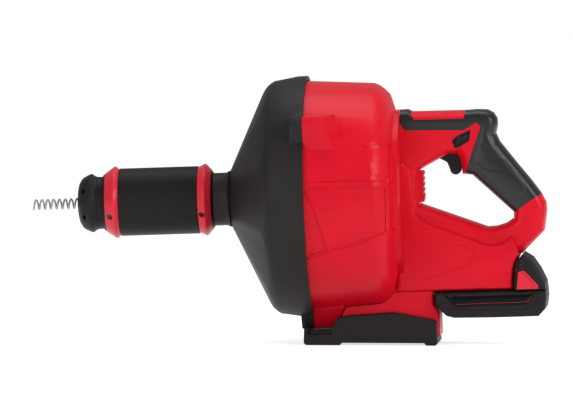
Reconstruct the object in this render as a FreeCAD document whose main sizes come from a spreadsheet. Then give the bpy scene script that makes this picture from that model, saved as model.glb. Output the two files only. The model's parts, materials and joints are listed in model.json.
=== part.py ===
import FreeCAD, Part
import math
import os
import Sketcher

os.makedirs("parts", exist_ok=True)
V = FreeCAD.Vector
doc = FreeCAD.newDocument("drain_snake_machine")
sheet = doc.addObject("Spreadsheet::Sheet", "Sizes")


class Dim:
    """A named size: its number for first placing, its text for the expression that drives it."""

    def __init__(self, text, value):
        self.text, self.value = text, float(value)

    def mix(self, other, sign, flip=False):
        text, value = (other.text, other.value) if isinstance(other, Dim) else (repr(other), other)
        a, b = ((text, value), (self.text, self.value)) if flip else ((self.text, self.value), (text, value))
        result = {"+": a[1] + b[1], "-": a[1] - b[1], "*": a[1] * b[1], "/": a[1] / b[1] if b[1] else 0}[sign]
        return Dim(f"({a[0]} {sign} {b[0]})", result)

    def __add__(self, o): return self.mix(o, "+")
    def __radd__(self, o): return self.mix(o, "+", True)
    def __sub__(self, o): return self.mix(o, "-")
    def __rsub__(self, o): return self.mix(o, "-", True)
    def __mul__(self, o): return self.mix(o, "*")
    def __rmul__(self, o): return self.mix(o, "*", True)
    def __truediv__(self, o): return self.mix(o, "/")
    def __neg__(self): return self.mix(-1.0, "*")


class Sizes:
    pass


d = Sizes()
row = 0
driving = dict(
    tool_pitch=2.0, axis_height=155.2, origin_shift=-25.4,
    wall=3.0, running_gap=0.3,
    cable_radius=4.0, spring_radius=5.2, spring_wire=1.6, spring_pitch=6.2, spring_length=48.8,
    nose_front=-238.0, nose_radius=31.2, nose_tube_radius=27.7, nose_tube_bore=23.5,
    sleeve_front=-211.0, sleeve_rear=-94.0, sleeve_radius=35.8, ring_radius=38.2, ring_seat=31.0,
    ring_hole=6.6, hole_angle=23.0, neck_radius=28.0, neck_end=-80.0,
    cone_start=37.8, shoulder_radius=123.3, rim_radius=127.7, rim_end=9.8,
    lug_reach=140.0, lug_half_width=30.0, lug_crest=5.0, lug_angle=37.0, lug_count=3.0, lug_gap=1.0,
    housing_front_radius=123.0, housing_rear_radius=118.0, flange_radius=88.0, flange_face=106.8,
    panel_border_depth=1.0, panel_depth=2.2, panel_rib=0.9,
    drum_radius=112.0, drum_front=-16.0, drum_back=77.0, drum_mouth=-38.0, mouth_radius=61.0,
    coil_outer=109.3, guide_radius=6.6, guide_bend=60.0, bush_position=-120.0,
    shaft_radius=5.0, bearing_radius=13.0, bearing_width=8.0, boss_radius=16.5,
    gear_module=2.0, drum_teeth=60.0, lay_pinion_teeth=10.0, gear_width=8.0, gear_face=87.0,
    first_module=1.0, lay_teeth=30.0, motor_teeth=9.0, first_face=98.5, first_width=3.8,
    motor_drop=66.0, lay_side=19.462, lay_drop=67.24, motor_radius=21.0, motor_front=111.0, motor_length=42.0,
    fan_radius=19.0, screw_circle=129.0, trigger_spring_radius=2.6, trigger_spring_wire=0.8,
    handle_half_width=21.5, body_half_width=34.0, leg_half_width=30.0, rubber=2.2,
    trigger_half_width=8.0, trigger_slot_gap=0.6, switch_half_width=10.0, shuttle_overhang=1.5, shuttle_gap=0.4, bezel_wall=1.6, bezel_reach=13.0,
    pack_half_width=38.0, pack_top=-104.8, pack_bottom=-132.5, pack_front=139.0, pack_rear=256.9,
    pack_wall=2.4, cell_radius=9.1, cell_length=65.0, cell_pitch=18.8,
    latch_depth=7.0, latch_spring_radius=2.4, latch_spring_wire=0.7, rail_half_width=24.0, rail_top=-89.0,
    groove_width=1.8, foot_half_width=42.0, foot_lift=2.6,
)
for word, number in driving.items():
    row += 1
    sheet.set(f"A{row}", word)
    sheet.set(f"B{row}", repr(number))
    sheet.setAlias(f"B{row}", word)
    setattr(d, word, Dim("Sizes." + word, number))
doc.recompute()

nodes = {}


def number(x):
    return x.value if isinstance(x, Dim) else float(x)


def drive(obj, prop, x):
    if isinstance(x, Dim):
        obj.setExpression(prop, x.text)
    else:
        head, _, tail = prop.partition(".")
        if not tail:
            setattr(obj, prop, x)


def place_in_tool(obj):
    """The whole tool sits a little nose down on its foot."""
    a = math.radians(-d.tool_pitch.value)
    turn = FreeCAD.Rotation(V(0, 1, 0), math.degrees(a))
    obj.Placement = FreeCAD.Placement(V(0, 0, 0), turn).multiply(obj.Placement)
    obj.Placement.Base = obj.Placement.Base + V(d.origin_shift.value, 0, d.axis_height.value)


def node(obj, name):
    obj.Label = name
    nodes[name] = obj
    return obj


def plane(body, role):
    return [f for f in body.Origin.OriginFeatures if f.Role == role][0]


def sketch(body, name, points, role="XZ_Plane", offset=0.0, turn=0.0, circles=()):
    """A closed outline; every corner is held by its two distances from the origin."""
    sk = body.newObject("Sketcher::SketchObject", name)
    sk.AttachmentSupport = [(plane(body, role), "")]
    sk.MapMode = "FlatFace"
    axis = V(1, 0, 0) if role == "XZ_Plane" else V(0, 0, 1)
    sk.AttachmentOffset = FreeCAD.Placement(V(0, 0, number(offset)), FreeCAD.Rotation(axis, number(turn)))
    if isinstance(offset, Dim):
        sk.setExpression("AttachmentOffset.Base.z", offset.text)
    n = len(points)
    for i in range(n):
        (x0, y0), (x1, y1) = points[i], points[(i + 1) % n]
        sk.addGeometry(Part.LineSegment(V(number(x0), number(y0), 0), V(number(x1), number(y1), 0)), False)
    for i in range(n):
        sk.addConstraint(Sketcher.Constraint("Coincident", i, 2, (i + 1) % n, 1))
    for i, (x, y) in enumerate(points):
        for kind, c in (("DistanceX", x), ("DistanceY", y)):
            k = sk.addConstraint(Sketcher.Constraint(kind, -1, 1, i, 1, number(c)))
            if isinstance(c, Dim):
                sk.setExpression(f"Constraints[{k}]", c.text)
    for x, y, r in circles:
        g = sk.addGeometry(Part.Circle(V(number(x), number(y), 0), V(0, 0, 1), number(r)), False)
        for kind, c in (("DistanceX", x), ("DistanceY", y)):
            k = sk.addConstraint(Sketcher.Constraint(kind, -1, 1, g, 3, number(c)))
            if isinstance(c, Dim):
                sk.setExpression(f"Constraints[{k}]", c.text)
        k = sk.addConstraint(Sketcher.Constraint("Radius", g, number(r)))
        if isinstance(r, Dim):
            sk.setExpression(f"Constraints[{k}]", r.text)
    return sk


def new_body(name):
    return doc.addObject("PartDesign::Body", name + "_body")


def turned(body, name, points, angle=360.0, cut=False, turn=0.0, both=False):
    """Profile (along, radius) turned about the tool axis."""
    sk = sketch(body, name + "_profile", points, turn=turn)
    f = body.newObject("PartDesign::Groove" if cut else "PartDesign::Revolution", name + "_turn")
    f.Profile = sk
    f.ReferenceAxis = (sk, ["H_Axis"])
    f.Angle = number(angle)
    f.Midplane = both
    return f


def pushed(body, name, points, length, role="XZ_Plane", offset=0.0, turn=0.0, cut=False, middle=True,
           reverse=False, circles=()):
    """Outline pushed to a slab or, with cut, a pocket."""
    sk = sketch(body, name + "_outline", points, role, offset, turn, circles)
    f = body.newObject("PartDesign::Pocket" if cut else "PartDesign::Pad", name + "_push")
    f.Profile = sk
    drive(f, "Length", length)
    f.Midplane = middle
    f.Reversed = reverse
    return f


def ring(name, count, features):
    p = name.newObject("PartDesign::PolarPattern", "Around")
    p.Originals = features
    p.Axis = (plane(name, "X_Axis"), [""])
    p.Angle = 360
    p.Occurrences = int(number(count))
    name.Tip = p
    return p


def rod(name, radius, length, at, along=V(1, 0, 0)):
    c = doc.addObject("Part::Cylinder", name)
    drive(c, "Radius", radius)
    drive(c, "Height", length)
    c.Placement = FreeCAD.Placement(V(*[number(x) for x in at]), FreeCAD.Rotation(V(0, 0, 1), along))
    return c


def block(name, low, high):
    b = doc.addObject("Part::Box", name)
    for prop, lo, hi in zip(("Length", "Width", "Height"), low, high):
        drive(b, prop, hi - lo)
    b.Placement.Base = V(*[number(x) for x in low])
    return b


def join(name, parts):
    f = doc.addObject("Part::MultiFuse", name)
    f.Shapes = parts
    return f


def minus(name, base, tool):
    f = doc.addObject("Part::Cut", name)
    f.Base, f.Tool = base, tool
    return f


def overlap(name, a, b):
    f = doc.addObject("Part::Common", name)
    f.Base, f.Tool = a, b
    return f


def group(name, parts):
    g = doc.addObject("Part::Compound", name + "_group")
    g.Links = parts
    return node(g, name)


def slab(name, points, half, side=0):
    """Extruded side outline; side -1 keeps the left half only, +1 the right half."""
    b = new_body(name)
    if side == 0:
        pushed(b, name, points, half * 2)
    else:
        pushed(b, name, points, half, middle=False, reverse=side > 0)
    return b


def rounded(name, points, half, reach, depth, steps=3, outward=False):
    """Slab whose outline draws in by reach over the last depth of its width, on a quarter ellipse."""
    b = new_body(name)
    stations = []
    for k in range(steps + 1):
        a = math.pi / 2 * k / steps
        stations.append((number(half) - depth * (1 - math.sin(a)), reach * (1 - math.cos(a))))
    stations = [(-y, r) for y, r in reversed(stations)] + stations
    sections = [sketch(b, f"{name}_{i}", inset(points, -r if outward else r), offset=y)
                for i, (y, r) in enumerate(stations)]
    loft = b.newObject("PartDesign::AdditiveLoft", name + "_loft")
    loft.Profile = sections[0]
    loft.Sections = sections[1:]
    loft.Ruled = True
    return b


def strip(path, width):
    """Outline of a narrow band along a bent line."""
    left, right = [], []
    n = len(path)
    for i, (x, y) in enumerate(path):
        (ax, ay), (bx, by) = path[max(i - 1, 0)], path[min(i + 1, n - 1)]
        length = math.hypot(bx - ax, by - ay)
        nx, ny = -(by - ay) / length * width / 2, (bx - ax) / length * width / 2
        left.append((x + nx, y + ny))
        right.append((x - nx, y - ny))
    return left + right[::-1]


def inset(points, by):
    """Outline moved inwards by a wall thickness."""
    n, out = len(points), []
    raw = [(number(x), number(y)) for x, y in points]
    area = sum(raw[i][0] * raw[(i + 1) % n][1] - raw[(i + 1) % n][0] * raw[i][1] for i in range(n))
    s = number(by) * (1 if area > 0 else -1)
    for i in range(n):
        (ax, ay), (bx, by_), (cx, cy) = raw[i - 1], raw[i], raw[(i + 1) % n]
        l0, l1 = math.hypot(bx - ax, by_ - ay), math.hypot(cx - bx, cy - by_)
        n0 = (-(by_ - ay) / l0, (bx - ax) / l0)
        n1 = (-(cy - by_) / l1, (cx - bx) / l1)
        k = s / (1 + n0[0] * n1[0] + n0[1] * n1[1])
        out.append((bx + k * (n0[0] + n1[0]), by_ + k * (n0[1] + n1[1])))
    return out


def screws(name, places, head, head_length, shank, shank_length, along):
    """Identical pan-head screws, each head outside, shank along the given direction."""
    parts = []
    for i, p in enumerate(places):
        base = V(*[number(x) for x in p])
        h = rod(f"{name}_head_{i}", head, head_length, base, along)
        k = rod(f"{name}_shank_{i}", shank, shank_length, base + along * (number(head_length) - 0.05), along)
        parts.append(join(f"{name}_{i}", [h, k]))
    return group(name, parts)


def gear(name, teeth, module, width, face, y, z, bore, phase=0.0):
    """Spur gear with straight-flanked teeth and working backlash."""
    n, m = int(number(teeth)), number(module)
    r = n * m / 2
    points = []
    for i in range(n):
        a = 2 * math.pi * i / n + phase
        for radius, part in ((r - 1.2 * m, -0.31), (r, -0.215), (r + 0.85 * m, -0.10),
                             (r + 0.85 * m, 0.10), (r, 0.215), (r - 1.2 * m, 0.31)):
            b = a + 2 * math.pi * part / n
            points.append((radius * math.cos(b), radius * math.sin(b)))
    wire = Part.makePolygon([V(0, number(y) + p, number(z) + q) for p, q in points + points[:1]])
    flat = doc.addObject("Part::Feature", name + "_teeth")
    flat.Shape = Part.Face(wire)
    e = doc.addObject("Part::Extrusion", name + "_blank")
    e.Base = flat
    e.Dir = V(1, 0, 0)
    e.Solid = True
    drive(e, "LengthFwd", width)
    e.Placement.Base = V(number(face), 0, 0)
    if bore is None:
        return e
    hole = rod(name + "_bore", bore, number(width) + 2, (number(face) - 1, y, z))
    return minus(name + "_cut", e, hole)


# ---------------------------------------------------------------- nose and feed sleeve
b = new_body("nose_cap")
turned(b, "cap", [(d.nose_front, 9.5), (d.nose_front, 15), (-236.6, 21), (-233.7, 25.8), (-231.2, 27.8),
                  (-225.6, d.nose_radius - 0.7), (-223.8, d.nose_radius), (-222.2, d.nose_radius - 0.6),
                  (-219.6, 28.5), (-217.5, 27.9), (-217.5, 24.2), (-234, 24.2), (-235.5, 9.5)])
slot = pushed(b, "slot", [(-232.2, -2.6), (-229.4, -2.6), (-229.4, 2.6), (-232.2, 2.6)], 8, "XY_Plane", 22,
              cut=True, middle=False, reverse=True)
ring(b, 6, [slot])
node(b, "nose_cap")

b = new_body("nose_tube")
turned(b, "tube", [(-217.3, d.nose_tube_bore), (-217.3, d.nose_tube_radius), (-94, d.nose_tube_radius),
                   (-94, 24.0), (-72, 24.0), (-72, 21), (-97, 21), (-99, d.nose_tube_bore)])
turned(b, "spigot", [(-229, 20.5), (-229, 24), (-217.3, 24), (-217.3, 27), (-213, 27), (-213, 20.5)])
node(b, "nose_tube")

b = new_body("feed_carrier")
turned(b, "carrier", [(-212.5, 12.5), (-212.5, 20), (-206, 23.3), (-190, 23.3), (-190, 12.5)])
node(b, "feed_carrier")
rollers = []
for i in range(3):
    a = math.radians(90 + 120 * i)
    rollers.append(rod(f"roller_{i}", 3.8, 16, (-210, 8.3 * math.cos(a), 8.3 * math.sin(a))))
group("feed_rollers", rollers)

b = new_body("feed_sleeve")
seat, bore = d.ring_seat, d.neck_radius + d.running_gap
turned(b, "sleeve", [(d.sleeve_front, bore), (d.sleeve_front, bore + 0.9), (d.sleeve_front + 2.6, seat),
                     (-193.7, seat), (-193.7, d.sleeve_radius - 0.8), (-192.9, d.sleeve_radius),
                     (-110.3, d.sleeve_radius), (-109.5, d.sleeve_radius - 0.8), (-109.5, seat),
                     (d.sleeve_rear - 1.6, seat), (d.sleeve_rear, bore + 0.9), (d.sleeve_rear, bore)])
node(b, "feed_sleeve")


def grip_ring(name, front, ridge, rear, front_radius, rear_radius, hole_at):
    """Red ring with one countersunk screw hole low on the near side."""
    b = new_body(name)
    turned(b, name, [(front, d.ring_seat), (front, front_radius), (ridge - 1.2, d.ring_radius - 0.5),
                     (ridge, d.ring_radius), (ridge + 1.2, d.ring_radius - 0.5), (rear, rear_radius),
                     (rear, d.ring_seat)])
    pushed(b, "hole", [], 12, "XY_Plane", 29, turn=0, cut=True, middle=False, reverse=True,
           circles=[(hole_at, 0, d.ring_hole / 2)])
    b.Placement = FreeCAD.Placement(V(0, 0, 0), FreeCAD.Rotation(V(1, 0, 0), 90 + d.hole_angle.value))
    return node(b, name)


hole_spots = (-203.0, -105.2)
grip_ring("front_ring", -208.4, -198.1, -193.7, 31.4, 34.9, hole_spots[0])
grip_ring("rear_ring", -109.5, -102.3, -95.6, 34.8, 31.8, hole_spots[1])
hole_way = V(0, -math.cos(math.radians(d.hole_angle.value)), -math.sin(math.radians(d.hole_angle.value)))
group("ring_screws", [rod(f"ring_screw_{i}", d.ring_hole / 2 - 0.2, 1.2,
                          tuple(V(at, 0, 0) + hole_way * (d.ring_seat.value + 0.05)), hole_way)
                      for i, at in enumerate(hole_spots)])

# ---------------------------------------------------------------- shroud and drum housing
rim_bore = d.housing_front_radius + 0.4
b = new_body("front_shroud")
turned(b, "shroud", [(-93.3, 24.3), (-93.3, d.neck_radius), (d.neck_end, d.neck_radius), (-77.4, 29.4),
                     (-74.2, 32.9), (-70.9, d.cone_start + 2), (-38.9, 109.3), (-35.5, 114.7), (-32.6, 118.2),
                     (-29.3, 121.0), (-25.5, d.shoulder_radius), (0.2, d.rim_radius - 0.1), (d.rim_end, d.rim_radius),
                     (d.rim_end, rim_bore), (-1, rim_bore), (-25, 119.6), (-29, 117.4), (-33, 112.5), (-35.6, 102.6), (-67.2, 37.4), (-70, 34),
                     (-70, 24.3)])
facet = pushed(b, "facet", [(-77.1, 25.2), (-24.2, 134.3), (-60, 134.3)], 90, cut=True)
ring(b, 10, [facet])
lug_start = -3.6
lug = pushed(b, "lug", [(-d.lug_half_width, 112), (d.lug_half_width, 112), (d.lug_crest, d.lug_reach),
                        (-d.lug_crest, d.lug_reach)], d.rim_end - lug_start, "YZ_Plane", lug_start, middle=False)
ring(b, d.lug_count, [lug])
turned(b, "inside", [(-20, 60), (d.rim_end + 1, 60), (d.rim_end + 1, rim_bore), (-1, rim_bore), (-20, 120.4)],
       cut=True)


def lug_turn(which=0):
    """Turn that brings the top of the tool to the lug of that number, counted from the near side."""
    return FreeCAD.Placement(V(0, 0, 0), FreeCAD.Rotation(V(1, 0, 0), 90 - d.lug_angle.value - 120 * which))


b.Placement = lug_turn()
lug_turns = [math.radians(d.lug_angle.value + 120 * i) for i in range(3)]
lug_points = [(-d.screw_circle.value * math.cos(a), d.screw_circle.value * math.sin(a)) for a in lug_turns]
shroud_holes = [rod(f"shroud_hole_{i}", 1.65, 30, (-8, y, z)) for i, (y, z) in enumerate(lug_points)]
shroud_sinks = [rod(f"shroud_sink_{i}", 3.6, 5.2, (-5, y, z)) for i, (y, z) in enumerate(lug_points)]
node(minus("shroud_drilled", b, join("shroud_drill", shroud_holes + shroud_sinks)), "front_shroud")

b = new_body("drum_housing")
turned(b, "housing", [(0.4, 118.6), (0.4, d.housing_front_radius), (80.7, d.housing_rear_radius), (85.9, 115.5),
                      (91.1, 111.5), (96.2, 106), (101, 90.5), (101.5, d.flange_radius),
                      (d.flange_face, d.flange_radius), (d.flange_face, d.boss_radius), (115.6, d.boss_radius),
                      (115.6, 9), (115, 9), (115, 13), (97.8, 13), (97.8, d.boss_radius), (103.8, d.boss_radius),
                      (103.8, 85), (98.3, 89.5), (93.6, 104.4), (89.1, 108.4), (84.4, 111.4), (80, 113.6)])
lug = pushed(b, "lug", [(-d.lug_half_width + 6, 117), (d.lug_half_width - 6, 117), (d.lug_crest, d.lug_reach),
                        (-d.lug_crest, d.lug_reach)], 33, "YZ_Plane", d.rim_end + d.running_gap, middle=False)
bevel = pushed(b, "bevel", [(31, 143), (48, 143), (48, 119.6), (43, 119.6)], 80, cut=True)
ring(b, d.lug_count, [lug, bevel])
b.Placement = lug_turn()
housing_body = b
blind_holes = [rod(f"lug_hole_{i}", 1.65, 15, (9, y, z)) for i, (y, z) in enumerate(lug_points)]
shafts_out = join("shaft_openings", blind_holes + [
    rod("motor_opening", 4.5, 20, (100, 0, -d.motor_drop)),
    rod("lay_bearing_seat", 5.05, 2.2, (103.7, d.lay_side, -d.lay_drop))])


def skin_below(name, depth):
    """Everything outside the drum housing's own surface lowered by depth."""
    b = new_body(name)
    turned(b, name, [(-8, 150), (-8, 123.4 - depth), (80.7, d.housing_rear_radius - depth), (85.9, 115.5 - depth),
                     (91.1, 111.5 - depth), (96.2, 106 - depth), (101, 90.5 - depth), (101, 150)])
    return b


def near_panel(name, outline, depth):
    b = new_body(name)
    pushed(b, name, outline, 90, offset=50, middle=False)
    return overlap(name + "_cut", b, skin_below(name + "_skin", depth))


panel = join("side_panel", [
    near_panel("panel_shoulder", [(72, 57), (99, 56), (99, 22), (86, 22)], d.panel_border_depth),
    near_panel("panel_border", [(-5, 20.8), (99, 20.8), (99, -33), (70.9, -44.6), (-5, -65)], d.panel_border_depth),
    near_panel("panel_recess", [(11, 12.3), (95, 11.2), (94, -34.4), (74, -41), (11, -58)], d.panel_depth)])
rib = new_body("panel_rib")
pushed(rib, "rib", strip([(12.1, 12.8), (20.1, -6), (33.9, -53.5)], 1.5), 90, offset=50, middle=False)
rib_height = overlap("panel_rib_outer", rib, skin_below("rib_skin", d.panel_depth))
rib_skin = minus("panel_rib_skin", rib_height, skin_below("rib_face", d.panel_depth - d.panel_rib))
turned_housing = minus("drum_housing_cut", housing_body, shafts_out)
node(minus("drum_housing_panelled", turned_housing, minus("panel_ribbed", panel, rib_skin)), "drum_housing")

screws("shroud_screws", [(-3.2, y, z) for y, z in lug_points], 3.2, 3.4, 1.6, 20, V(1, 0, 0))

# ---------------------------------------------------------------- rotating drum, cable and guide
b = new_body("inner_drum_cup")
turned(b, "cup", [(d.drum_front, d.drum_radius - 2.4), (d.drum_front, d.drum_radius), (72, d.drum_radius),
                  (d.drum_back, d.drum_radius - 5), (d.drum_back, 6), (74, 6), (74, 106), (71, 109.6)])
node(b, "inner_drum_cup")
b = new_body("inner_drum_front")
turned(b, "front", [(d.drum_front, d.drum_radius), (d.drum_mouth, d.mouth_radius + 3), (d.drum_mouth, d.mouth_radius),
                    (d.drum_mouth + 3, d.mouth_radius), (d.drum_front, d.drum_radius - 5)])
node(b, "inner_drum_front")
coil_inner = d.coil_outer - d.cable_radius * 2
b = new_body("cable_coil")
turned(b, "coil", [(2, coil_inner + 2), (2, d.coil_outer - 2), (4, d.coil_outer), (66, d.coil_outer),
                   (68, d.coil_outer - 2), (68, coil_inner + 2), (66, coil_inner), (4, coil_inner)])
node(b, "cable_coil")
b = new_body("drum_shaft")
turned(b, "shaft", [(66, 0), (66, 14), (74, 14), (74, 5.9), (79, 5.9), (79, 14), (86, 14), (86, 12), (98.5, 12), (98.5, 4.95),
                    (116.5, 4.95), (116.5, 0)])
node(b, "drum_shaft")
bearings = []
for i, at in enumerate((98.6, 106.8)):
    bearings.append(minus(f"bearing_{i}", rod(f"bearing_outer_{i}", 12.95, d.bearing_width, (at, 0, 0)),
                          rod(f"bearing_inner_{i}", d.shaft_radius, 12, (at - 1, 0, 0))))
group("drum_bearings", bearings)
drum_wheel = gear("drum_gear", d.drum_teeth, d.gear_module, d.gear_width, d.gear_face, 0, 0, 12.0)
windows = [rod(f"gear_window_{i}", 13, 12, (85, 36 * math.cos(i * math.pi / 3), 36 * math.sin(i * math.pi / 3)))
           for i in range(6)]
node(minus("drum_gear_light", drum_wheel, join("gear_windows", windows)), "drum_gear")

guide_start, bend_x = V(-8, 0, 84), -62.0
slope = (V(bend_x, 0, 0) - guide_start).normalize()
turn_angle = math.acos(-slope.x)
reach = d.guide_bend.value * math.tan(turn_angle / 2)
arc_end, arc_start = V(bend_x - reach, 0, 0), V(bend_x, 0, 0) - slope * reach
middle = arc_end + V(math.sin(turn_angle / 2), 0, 1 - math.cos(turn_angle / 2)) * d.guide_bend.value


def swept(name, start, end_x, radius, bore=0.0):
    path = Part.Wire([Part.LineSegment(start, arc_start).toShape(), Part.Arc(arc_start, middle, arc_end).toShape(),
                      Part.LineSegment(arc_end, V(end_x, 0, 0)).toShape()])
    spine = doc.addObject("Part::Feature", name + "_path")
    spine.Shape = path
    solids = []
    for tag, r in (("outer", radius), ("inner", bore)):
        if r:
            c = doc.addObject("Part::Circle", f"{name}_{tag}_circle")
            drive(c, "Radius", r)
            c.Placement = FreeCAD.Placement(start, FreeCAD.Rotation(V(0, 0, 1), slope))
            s = doc.addObject("Part::Sweep", f"{name}_{tag}")
            s.Sections = [c]
            s.Spine = (spine, [])
            s.Solid = True
            s.Frenet = False
            solids.append(s)
    return minus(name + "_tube", *solids) if len(solids) == 2 else solids[0]


node(swept("cable_guide_tube", guide_start, -150, d.guide_radius, d.cable_radius + 0.3), "cable_guide_tube")
node(swept("drain_cable", guide_start - slope * 4, -239.4, d.cable_radius), "drain_cable")
b = new_body("guide_bush")
turned(b, "bush", [(d.bush_position, 6.9), (d.bush_position, d.nose_tube_bore - 0.02),
                   (d.bush_position + 8, d.nose_tube_bore - 0.02), (d.bush_position + 8, 6.9)])
node(b, "guide_bush")


def coil(name, start, radius, wire, pitch, length, place=FreeCAD.Placement(), per_turn=14, sides=6):
    """A sprung wire wound about the tool axis, then moved to its place."""
    radius, wire, pitch, length = number(radius), number(wire), number(pitch), number(length)
    steps = int(length / pitch * per_turn)
    sections = []
    for i in range(steps + 1):
        a = 2 * math.pi * i / per_turn
        outward = V(0, math.cos(a), math.sin(a))
        centre = V(start + pitch * i / per_turn, 0, 0) + outward * radius
        corners = [2 * math.pi * k / sides for k in range(sides)]
        points = [centre + (outward * math.cos(c) + V(1, 0, 0) * math.sin(c)) * wire / 2 for c in corners]
        sections.append(Part.makePolygon(points + points[:1]))
    spring = doc.addObject("Part::Feature", name + "_wire")
    spring.Shape = Part.makeLoft(sections, True, True)
    spring.Placement = place
    return node(spring, name)


coil("auger_tip", -287.0, d.spring_radius, d.spring_wire, d.spring_pitch, d.spring_length)

# ---------------------------------------------------------------- motor and gear train
lay_y, lay_z, motor_z = d.lay_side, -d.lay_drop, -d.motor_drop
lay_angle = math.atan2(lay_z.value, lay_y.value)
drum_pitch_angle = 2 * math.pi / d.drum_teeth.value
near_tooth = round(lay_angle / drum_pitch_angle) * drum_pitch_angle
lay_phase = lay_angle + math.pi + math.pi / d.lay_pinion_teeth.value
lay_phase += (lay_angle - near_tooth) * d.drum_teeth.value / d.lay_pinion_teeth.value
lay_pinion = gear("lay_pinion", d.lay_pinion_teeth, d.gear_module, 9.0, 86.5, lay_y, lay_z, None, lay_phase)
to_motor = math.atan2(motor_z.value - lay_z.value, -lay_y.value)
lay_wheel = gear("lay_wheel", d.lay_teeth, d.first_module, d.first_width, d.first_face, lay_y, lay_z, None, to_motor)
lay_rod = rod("lay_rod", 3.0, 11.5, (94, lay_y, lay_z))
node(join("lay_gear_whole", [lay_pinion, lay_wheel, lay_rod]), "lay_gear")
lay_bush = minus("lay_bush_ring", rod("lay_bush_outer", 5.0, 2.0, (103.8, lay_y, lay_z)),
                 rod("lay_bush_inner", 3.05, 4, (103, lay_y, lay_z)))
node(lay_bush, "lay_bush")
motor_phase = to_motor + math.pi + math.pi / d.motor_teeth.value
node(gear("motor_pinion", d.motor_teeth, d.first_module, d.first_width, d.first_face, 0, motor_z, 2.5,
          motor_phase), "motor_pinion")


def motor_turned(name, points):
    b = new_body(name)
    turned(b, name, points)
    b.Placement.Base = V(0, 0, motor_z.value)
    return node(b, name)


can_end = d.motor_front + d.motor_length
motor_turned("motor_can", [(d.motor_front, 5), (d.motor_front, d.motor_radius), (can_end, d.motor_radius),
                           (can_end, 5), (can_end - 2.5, 5), (can_end - 2.5, d.motor_radius - 2),
                           (d.motor_front + 2.5, d.motor_radius - 2), (d.motor_front + 2.5, 5)])
motor_turned("motor_stator", [(118, 11.5), (118, 18.95), (146, 18.95), (146, 11.5)])
motor_turned("motor_rotor", [(d.first_face - 0.4, 0), (d.first_face - 0.4, 2.5), (119, 2.5), (119, 10.8), (145, 10.8), (145, 2.5),
                             (166, 2.5), (166, 0)])
b = new_body("motor_fan")
turned(b, "hub", [(155.5, 2.5), (155.5, 7), (157, d.fan_radius), (158.2, d.fan_radius), (158.6, 7), (164, 7), (164, 2.5)])
blade = pushed(b, "blade", [(-0.7, 6.5), (0.7, 6.5), (0.7, d.fan_radius - 0.5), (-0.7, d.fan_radius - 0.5)], 5.4,
               "YZ_Plane", 157.6, middle=False)
ring(b, 9, [blade])
b.Placement.Base = V(0, 0, motor_z.value)
node(b, "motor_fan")

# ---------------------------------------------------------------- handle housing, rubber, trigger
loop = [(98, 62), (98, 88.4), (115, 89), (120, 86.6), (178, 86.2), (188, 86.8), (199.5, 86.1), (205.8, 82.6),
        (209.4, 76.5), (209.7, 69), (207.6, 60.5), (211.2, 52), (230.4, 26.6), (243.3, 10.3), (253.2, -3.7),
        (258.3, -14), (258.9, -22), (255.9, -43.1), (232, -66.4), (205, -66.4), (98, -66.4)]
hole = [(125.6, 24.7), (146.3, 35.6), (156.5, 40.6), (166.2, 40.6), (169.8, 34.8), (171.2, 19.2), (181.5, 17.9), (224, -22.5), (223.8, -29),
        (215.5, -34.4), (205.6, -37.3), (195.8, -37.8), (186.2, -34.2), (125.6, -11.1)]
lower = [(98, 36), (110, 34), (118, 27), (120.1, 15), (121.9, -23), (130.6, -29.8), (196.4, -56.4), (209.5, -55.2),
         (222.8, -47.6), (229, -68.2), (226.2, -74), (223.0, -84), (221.9, -98), (221.9, -103.6), (98, -103.6)]
leg = [(37, -108), (60, -104), (107, -60), (137.6, -60), (137.6, -116.5), (142.8, -125), (142.8, -150.5),
       (138, -154.0), (108, -152), (94.8, -148), (60, -132), (37, -129)]

loop_form = minus("loop_form", rounded("loop_outer", loop, d.handle_half_width, 9, 13, 4),
                  rounded("loop_window", hole, d.handle_half_width + 0.1, 9, 13.1, 4, outward=True))
lower_form = rounded("lower_form", lower, d.body_half_width, 5, 7)
leg_form = rounded("leg_form", leg, d.leg_half_width, 3, 4)
drum_clear = new_body("drum_clear")
turned(drum_clear, "clear", [(-40, 0), (-40, 128.6), (10.2, 128.6), (10.3, 122.8), (80.8, 118.4), (86.1, 115.9), (91.4, 111.9),
                             (96.5, 106.3), (101.4, 90.7), (101.9, 88.3), (106.9, 88.3), (106.9, 0)])
lug_room = new_body("lug_room")
room_half, room_crest = d.lug_half_width + d.lug_gap * 1.5, d.lug_crest + d.lug_gap * 1.5
pushed(lug_room, "room", [(-room_half, 112), (room_half, 112), (room_crest, d.lug_reach + d.lug_gap),
                          (-room_crest, d.lug_reach + d.lug_gap)], 54, "YZ_Plane", -8, middle=False)
pushed(lug_room, "room_slope", [(32.2, 143), (50, 143), (50, 119.6), (44.2, 119.6)], 90, cut=True)
lug_room.Placement = lug_turn(2)
red_form = minus("red_form", join("red_whole", [loop_form, lower_form, leg_form]),
                 join("drum_and_lug_room", [drum_clear, lug_room]))

rubber_zone = [(107.05, 75), (111.8, 67.6), (174.7, 65.8), (188.3, 73.4), (192.4, 68.8), (177, 28.6), (174.8, 19.5),
               (176, 10), (224.1, -23.5), (244.8, -9.4), (254.5, -4), (262, 20), (230, 100), (177.5, 92), (174.8, 78.2),
               (122.5, 78.6), (119.6, 83), (118, 92), (107.05, 92)]
zone = slab("rubber_zone", rubber_zone, 40.0)
core_loop = minus("core_loop", rounded("core_outer", inset(loop, d.rubber), d.handle_half_width - d.rubber, 8, 12, 4),
                  rounded("core_window", inset(hole, -d.rubber), d.handle_half_width - d.rubber + 0.1, 8, 12.1, 4,
                          outward=True))
grip = minus("grip_skin", overlap("grip_zone", minus("grip_clear", loop_form, drum_clear), zone), core_loop)
group("grip_overmould", [grip])

deep = d.rubber + d.wall
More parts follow.
